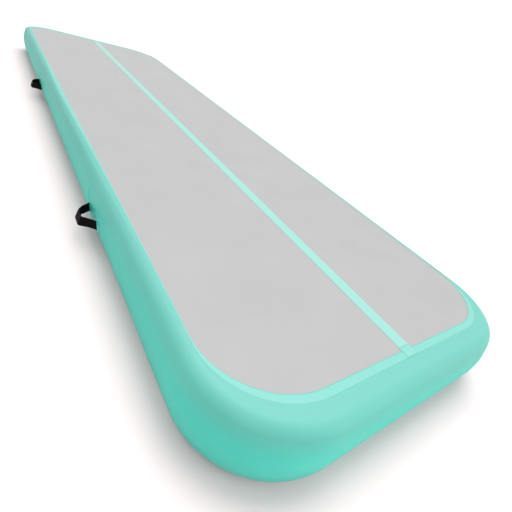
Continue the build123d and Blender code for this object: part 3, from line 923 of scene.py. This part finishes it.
class Shader:
    """A material under construction, with short ways to add its nodes."""

    def __init__(self, name, **fixed):
        self.material = bpy.data.materials.new(name)
        self.material.use_nodes = True
        self.tree = self.material.node_tree
        self.surface = self.tree.nodes["Principled BSDF"]
        for socket, value in fixed.items():
            self.surface.inputs[socket.replace("_", " ")].default_value = value

    def add(self, kind, inputs=None, **settings):
        made = self.tree.nodes.new(kind)
        for key, value in settings.items():
            setattr(made, key, value)
        for key, value in (inputs or {}).items():
            self.put(made.inputs[key], value)
        return made

    def put(self, socket, value):
        if isinstance(value, bpy.types.NodeSocket):
            self.tree.links.new(value, socket)
        else:
            socket.default_value = value

    def maths(self, operation, first, second=0.0):
        return self.add("ShaderNodeMath", {0: first, 1: second}, operation=operation).outputs[0]

    def mix(self, share, first, second):
        made = self.add("ShaderNodeMix", {"Factor": share}, data_type="RGBA")
        self.put(made.inputs[6], first)
        self.put(made.inputs[7], second)
        return made.outputs[2]

    def noise(self, place, scale, detail=3.0, rough=0.55):
        inputs = {"Vector": place, "Scale": scale, "Detail": detail, "Roughness": rough}
        return self.add("ShaderNodeTexNoise", inputs).outputs["Fac"]

    def field(self, name, output="Fac"):
        return self.add("ShaderNodeAttribute", attribute_name=name).outputs[output]

    def spread(self, value, low, high, to_low, to_high):
        inputs = {"Value": value, "From Min": low, "From Max": high, "To Min": to_low, "To Max": to_high}
        return self.add("ShaderNodeMapRange", inputs).outputs["Result"]

    def here(self):
        return self.add("ShaderNodeTexCoord").outputs["Object"]

    def waves(self, place, across, along):
        """Crossing waves, a metre's count each way: the crowns of a plain weave."""
        parts = self.add("ShaderNodeSeparateXYZ", {0: place}).outputs
        first = self.maths("SINE", self.maths("MULTIPLY", parts[0], 2 * pi * across))
        second = self.maths("SINE", self.maths("MULTIPLY", parts[1], 2 * pi * along))
        return self.maths("MULTIPLY", first, second)

    def bump(self, height, strength, distance):
        inputs = {"Height": height, "Strength": strength, "Distance": distance}
        self.put(self.surface.inputs["Normal"], self.add("ShaderNodeBump", inputs).outputs["Normal"])


def coated_cloth(name, colour, deep, pale=None, painted_sheen=None, rough=(0.42, 0.56), weave=700, shine=0.18):
    """PVC over a woven base, which shows faintly through a satin skin, with soft marks, painted shade along
    its edges and seams, and painted sheen on top where asked for.
    """
    s = Shader(name, Specular_IOR_Level=shine)
    cloth, here = s.field("grain", "Vector"), s.here()
    mottle = s.noise(here, 5.0, 4.0)
    speck = s.noise(here, 260.0, 2.0)
    tone = s.spread(s.maths("ADD", mottle, s.maths("MULTIPLY", speck, 0.35)), 0.4, 0.95, 0.0, 0.16)
    skin = s.mix(tone, colour, deep)
    # Painted sheen: towards the top of the mat the colour is mixed to a paler mint, standing in for the
    # surround's reflection
    if painted_sheen:
        skin = s.mix(s.field("painted_sheen"), skin, painted_sheen)
    if pale:
        skin = s.mix(s.maths("MULTIPLY", s.field("strip"), 0.75), skin, pale)
    # Painted shade: along each edge and seam the colour is darkened towards the deep colour, where a groove's
    # shade would fall
    rim = s.maths("MULTIPLY", s.field("edge"), s.spread(s.noise(here, 40.0), 0.3, 0.7, 0.4, 0.8))
    s.put(s.surface.inputs["Base Color"], s.mix(rim, skin, deep))
    scuff = s.noise(here, 18.0, 5.0, 0.7)
    s.put(s.surface.inputs["Roughness"], s.spread(scuff, 0.3, 0.75, *rough))
    yarns = s.maths("MULTIPLY", s.waves(cloth, weave, weave), 0.3)
    s.bump(s.maths("ADD", yarns, s.maths("MULTIPLY", speck, 0.5)), 0.35, 0.12 * MM)
    return s.material


def deck_cloth():
    """The deck's matte grip surface: fine grain, a faint scrim and slight scuffing."""
    s = Shader("deck_cloth", Specular_IOR_Level=0.22)
    cloth, here = s.field("grain", "Vector"), s.here()
    mottle = s.noise(here, 3.0, 4.0)
    speck = s.noise(here, 420.0, 3.0, 0.7)
    tone = s.maths("ADD", s.maths("MULTIPLY", mottle, 0.6), s.maths("MULTIPLY", speck, 0.4))
    share = s.spread(tone, 0.35, 0.65, 0.0, 1.0)
    s.put(s.surface.inputs["Base Color"], s.mix(share, srgb(168, 168, 169), srgb(164, 164, 165)))
    s.put(s.surface.inputs["Roughness"], s.spread(s.noise(here, 25.0, 4.0), 0.3, 0.7, 0.62, 0.74))
    grip = s.maths("ADD", s.maths("MULTIPLY", s.waves(cloth, 450, 450), 0.5), speck)
    s.bump(grip, 0.4, 0.15 * MM)
    return s.material


def webbing_cloth():
    """Black woven webbing: slanting ribs over crossing yarns, with a soft sheen."""
    s = Shader("webbing_cloth", Specular_IOR_Level=0.1, Sheen_Weight=0.01, Sheen_Roughness=0.5)
    parts = s.add("ShaderNodeSeparateXYZ", {0: s.field("grain", "Vector")}).outputs
    slant = s.maths("ABSOLUTE", s.maths("SINE", s.maths("MULTIPLY", parts[1], 2 * pi * 140)))
    climb = s.maths("ADD", s.maths("MULTIPLY", parts[0], 2 * pi * 620), s.maths("MULTIPLY", slant, 2.4))
    yarn = s.maths("ABSOLUTE", s.maths("SINE", climb))
    fuzz = s.noise(s.here(), 900.0, 2.0)
    mixed = s.maths("ADD", s.maths("MULTIPLY", yarn, 0.7), s.maths("MULTIPLY", fuzz, 0.3))
    tone = s.spread(mixed, 0.1, 0.9, 0.0, 1.0)
    s.put(s.surface.inputs["Base Color"], s.mix(tone, srgb(2, 3, 3), srgb(13, 14, 15)))
    s.put(s.surface.inputs["Roughness"], s.spread(fuzz, 0.3, 0.7, 0.74, 0.88))
    s.bump(yarn, 0.6, 0.25 * MM)
    return s.material


def thread_cloth(name, colour, deep):
    """Twisted sewing thread."""
    s = Shader(name, Roughness=0.55, Sheen_Weight=0.2)
    twist = s.waves(s.field("grain", "Vector"), 1500, 700)
    s.put(s.surface.inputs["Base Color"], s.mix(s.spread(twist, -1, 1, 0.0, 1.0), colour, deep))
    s.bump(twist, 0.5, 0.1 * MM)
    return s.material


def bare_cloth(name, colour, deep, count=900):
    """Uncoated woven fabric, drawn by its place in the mat."""
    s = Shader(name, Sheen_Weight=0.1)
    here = s.here()
    weave = s.waves(here, count, count)
    tone = s.maths("ADD", s.maths("MULTIPLY", weave, 0.4), s.noise(here, 60.0, 4.0))
    s.put(s.surface.inputs["Base Color"], s.mix(s.spread(tone, 0.1, 0.9, 0.0, 1.0), colour, deep))
    s.put(s.surface.inputs["Roughness"], s.spread(s.noise(here, 200.0), 0.3, 0.7, 0.7, 0.9))
    s.bump(weave, 0.5, 0.2 * MM)
    return s.material


def moulded(name, colour, worn, rough, grain_size=700.0, depth=0.06 * MM, shine=0.5):
    """Moulded plastic or rubber: fine spark grain, slight tone changes and lighter scuffs."""
    s = Shader(name, Specular_IOR_Level=shine)
    here = s.here()
    spark = s.noise(here, grain_size, 3.0, 0.65)
    scuff = s.spread(s.noise(here, 90.0, 6.0, 0.75), 0.52, 0.72, 0.0, 0.6)
    s.put(s.surface.inputs["Base Color"], s.mix(scuff, colour, worn))
    s.put(s.surface.inputs["Roughness"], s.spread(s.noise(here, 60.0, 4.0), 0.3, 0.7, *rough))
    s.bump(spark, 0.45, depth)
    return s.material


def spring_steel():
    """Drawn wire, with a little oil."""
    s = Shader("spring_wire", Metallic=1.0)
    here = s.here()
    drawn = s.noise(here, 1200.0, 2.0)
    s.put(s.surface.inputs["Base Color"], s.mix(drawn, srgb(176, 178, 182), srgb(120, 122, 128)))
    s.put(s.surface.inputs["Roughness"], s.spread(drawn, 0.3, 0.7, 0.2, 0.38))
    s.bump(drawn, 0.2, 0.03 * MM)
    return s.material


MINT = (0.065, 0.6, 0.485, 1.0)
MINT_DEEP = (0.03, 0.44, 0.34, 1.0)
# The paler mint of the painted sheen on the mat's top, which stands in for the reflection of the bright
# surround
PAINTED_SHEEN_MINT = (0.15, 0.47, 0.41, 1.0)
STRIP_MINT = (0.22, 0.54, 0.48, 1.0)
STRIP_DEEP = (0.14, 0.42, 0.36, 1.0)
STRIPE_MINT = (0.27, 0.55, 0.49, 1.0)
STRIPE_DEEP = (0.24, 0.55, 0.49, 1.0)
BASE_GREY = srgb(172, 172, 174)
BASE_DEEP = srgb(140, 140, 143)
LOOKS = {
    # The wall and the tape carry painted sheen on top
    "wall": coated_cloth("wall_cloth", MINT, MINT_DEEP, painted_sheen=PAINTED_SHEEN_MINT),
    "tape": coated_cloth("tape_cloth", MINT, MINT_DEEP, pale=STRIP_MINT, painted_sheen=PAINTED_SHEEN_MINT),
    "tab": coated_cloth("tab_cloth", STRIP_MINT, STRIP_DEEP, rough=(0.45, 0.6)),
    "patch": coated_cloth("patch_cloth", MINT, MINT_DEEP, rough=(0.38, 0.5)),
    "stripe": coated_cloth("stripe_cloth", STRIPE_MINT, STRIPE_DEEP, rough=(0.5, 0.62), shine=0.3),
    "deck": deck_cloth(),
    "underside": coated_cloth("underside_cloth", BASE_GREY, BASE_DEEP, rough=(0.55, 0.7), weave=450),
    "webbing": webbing_cloth(),
    "thread": thread_cloth("seam_thread", srgb(176, 238, 226), srgb(112, 206, 190)),
    "yarn": thread_cloth("chamber_yarn", srgb(232, 232, 226), srgb(200, 200, 192)),
    "skin": bare_cloth("chamber_skin", srgb(214, 214, 210), srgb(176, 176, 172)),
    "lining": bare_cloth("chamber_lining", srgb(120, 122, 124), srgb(88, 90, 92), 600),
    "plastic": moulded("valve_plastic", srgb(20, 21, 22), srgb(60, 61, 63), (0.34, 0.5)),
    "rubber": moulded("valve_rubber", srgb(14, 14, 15), srgb(40, 40, 41), (0.7, 0.85), 400.0, 0.1 * MM, 0.3),
    "steel": spring_steel(),
}


def finish_piece(piece, look, slot, *stood_for):
    """Gives a piece its look and hides the CAD nodes that it stands for. Its slot is not used."""
    piece.data.materials.append(LOOKS[look])
    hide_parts(*stood_for)
    return piece


def on_mat(piece, look, slot, *stood_for):
    """The same for a piece that stays on the mat."""
    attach(finish_piece(piece, look, slot, *stood_for), "mat")
    return piece


# The mat's sheets
wall = on_mat(side_wall(), "wall", "mint_pvc", "outer_side_band")
top_border = on_mat(border_tape("top_border", underneath=False), "tape", "mint_tape", "top_edge_tape")
bottom_border = on_mat(border_tape("bottom_border", underneath=True), "tape", "mint_tape", "bottom_edge_tape")
deck = on_mat(deck_sheet(), "deck", "grey_pvc", "top_deck_panel")
underside = on_mat(floor_sheet(), "underside", "grey_pvc", "base_sheet")
stripe = on_mat(stripe_line(), "stripe", "pale_mint_stripe", "centre_stripe")
tabs = [
    on_mat(stripe_end(f"stripe_end_{end}", f"stripe_tab_{end}"), "tab", "mint_tape", f"stripe_tab_{end}")
    for end in ("front", "rear")
]
joint = on_mat(joint_strip(), "wall", "mint_tape", "band_joint_strip")
surround = on_mat(valve_surround(), "patch", "mint_pvc", "valve_patch")

# The handles
for key, (side, y) in HANDLES.items():
    node = f"handle_{key}"
    patch = slotted(handle_patch(f"{node}_pad", side, y), side, y)
    on_mat(patch, "patch", "mint_pvc", f"{node}_patch")
    on_mat(handle_seams(f"{node}_seams", side, y), "thread", "mint_thread", f"{node}_stitching")
    strap = handle_webbing(f"{node}_webbing", side, y)
    finish_piece(strap, "webbing", "black_webbing", f"{node}_strap", f"{node}_roots", f"{node}_anchors")
    flex_start, flex_end = [flex_point(side, y, reach) for reach in (PAD_PROUD, FLEX_REACH)]
    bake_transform(strap)
    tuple(flex_start)
    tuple(flex_end)

# The valve
tether = finish_piece(lid_strap(), "rubber", "black_rubber", "valve_cap_tether")
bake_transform(tether)

spring = finish_piece(press_spring(), "steel", "spring_steel", "valve_spring")
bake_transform(spring)

CAD_LOOKS = {
    "skin": ["top_skin", "bottom_skin"],
    "lining": ["inner_side_band", "inner_top_seam_tape", "inner_bottom_seam_tape"],
    "yarn": ["drop_stitch_threads"],
    "plastic": ["valve_body", "valve_core", "valve_nut", "valve_stem", "valve_button", "valve_cap"],
    "rubber": ["valve_gasket", "valve_seal", "valve_cap_seal"],
}
for look, names in CAD_LOOKS.items():
    for name in names:
        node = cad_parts[name]
        node.data.materials.clear()
        node.data.materials.append(LOOKS[look])

# The stage

CAMERA_PLACE = (-1.4166, -3.697, 1.3276)
CAMERA_FORWARD = (0.6000, 0.6253, -0.4990)
CAMERA_RIGHT = (0.7963, -0.5269, 0.2973)
CAMERA_LENS = 24.29
CAMERA_SHIFT = (-0.0234, -0.027)
# Each sun's direction, strength and width in degrees
SUNS = {
    "key": ((-0.3, -0.33, -0.9), 2.0, 40),
    "fill": ((0.55, 0.55, -0.6), 0.3, 60),
    "near_side": ((-0.6, 0.76, -0.2), 1.15, 45),
    "far_high": ((0.4, -0.62, -0.67), 0.5, 40),
}
# The way to the surround's bright side, and the strengths it runs between
BRIGHT_SIDE = (0.85, 0.5, 0.0)
SURROUND = {"From Min": -0.6, "From Max": 0.45, "To Min": 0.15, "To Max": 1.03}
FLOOR_REACH = 150
FLOOR_PALE = (0.93, 0.81, 0.825, 1)
FLOOR_DEEP = (0.91, 0.79, 0.805, 1)


def camera():
    """The camera stands by the mat's near left corner, 1.3 m up, with a wide lens."""
    made = bpy.data.objects.new("camera", bpy.data.cameras.new("camera"))
    forward = Vector(CAMERA_FORWARD).normalized()
    right = Vector(CAMERA_RIGHT)
    right = (right - forward * right.dot(forward)).normalized()
    up = right.cross(forward)
    turned = Matrix((right, up, -forward)).transposed().to_4x4()
    made.matrix_world = Matrix.Translation(CAMERA_PLACE) @ turned
    made.data.sensor_width = 36
    made.data.lens = CAMERA_LENS
    made.data.shift_x, made.data.shift_y = CAMERA_SHIFT
    made.data.clip_end = 400
    bpy.context.scene.collection.objects.link(made)
    bpy.context.scene.camera = made


def sun(name, towards, strength, wide):
    """A distant light that shines towards a direction, as soft as it is wide."""
    light = bpy.data.lights.new(name, "SUN")
    light.energy = strength
    light.angle = radians(wide)
    made = bpy.data.objects.new(name, light)
    made.rotation_mode = "QUATERNION"
    made.rotation_quaternion = Vector(towards).to_track_quat("-Z", "Y")
    bpy.context.scene.collection.objects.link(made)


def soft_box(name, place, target, wide, power):
    """A square light that faces a target."""
    light = bpy.data.lights.new(name, "AREA")
    light.energy = power
    light.size = wide
    made = bpy.data.objects.new(name, light)
    made.location = place
    made.rotation_mode = "QUATERNION"
    made.rotation_quaternion = (Vector(target) - Vector(place)).to_track_quat("-Z", "Y")
    bpy.context.scene.collection.objects.link(made)


def surround_light():
    """A white surround that is bright behind the mat and dim on its near left side."""
    world = bpy.data.worlds.new("studio")
    world.use_nodes = True
    tree = world.node_tree
    place = tree.nodes.new("ShaderNodeTexCoord")
    facing = tree.nodes.new("ShaderNodeVectorMath")
    facing.operation = "DOT_PRODUCT"
    facing.inputs[1].default_value = BRIGHT_SIDE
    share = tree.nodes.new("ShaderNodeMapRange")
    share.interpolation_type = "SMOOTHSTEP"
    for socket, value in SURROUND.items():
        share.inputs[socket].default_value = value
    tree.links.new(place.outputs["Generated"], facing.inputs[0])
    tree.links.new(facing.outputs["Value"], share.inputs["Value"])
    tree.links.new(share.outputs["Result"], tree.nodes["Background"].inputs["Strength"])
    tree.nodes["Background"].inputs["Color"].default_value = (1, 1, 1, 1)
    bpy.context.scene.world = world


def studio():
    """A pale floor out to the horizon, a white surround and soft lights."""
    surround_light()
    for name, (towards, strength, wide) in SUNS.items():
        sun(name, towards, strength, wide)
    soft_box("near_corner", (-3.4, -5.6, 2.6), (-0.8, -2.9, 0.2), 2.4, 40)
    bpy.context.scene.view_settings.view_transform = "Standard"
    points = [(FLOOR_REACH * x, FLOOR_REACH * y, 0) for x, y in ((-1, -1), (1, -1), (1, 1), (-1, 1))]
    mesh = bpy.data.meshes.new("floor")
    mesh.from_pydata(points, [], [(0, 1, 2, 3)])
    floor = bpy.data.objects.new("floor", mesh)
    bpy.context.scene.collection.objects.link(floor)
    s = Shader("floor", Roughness=0.8, Specular_IOR_Level=0.1)
    s.put(s.surface.inputs["Base Color"], s.mix(s.noise(s.here(), 2.0), FLOOR_PALE, FLOOR_DEEP))
    mesh.materials.append(s.material)


camera()
studio()
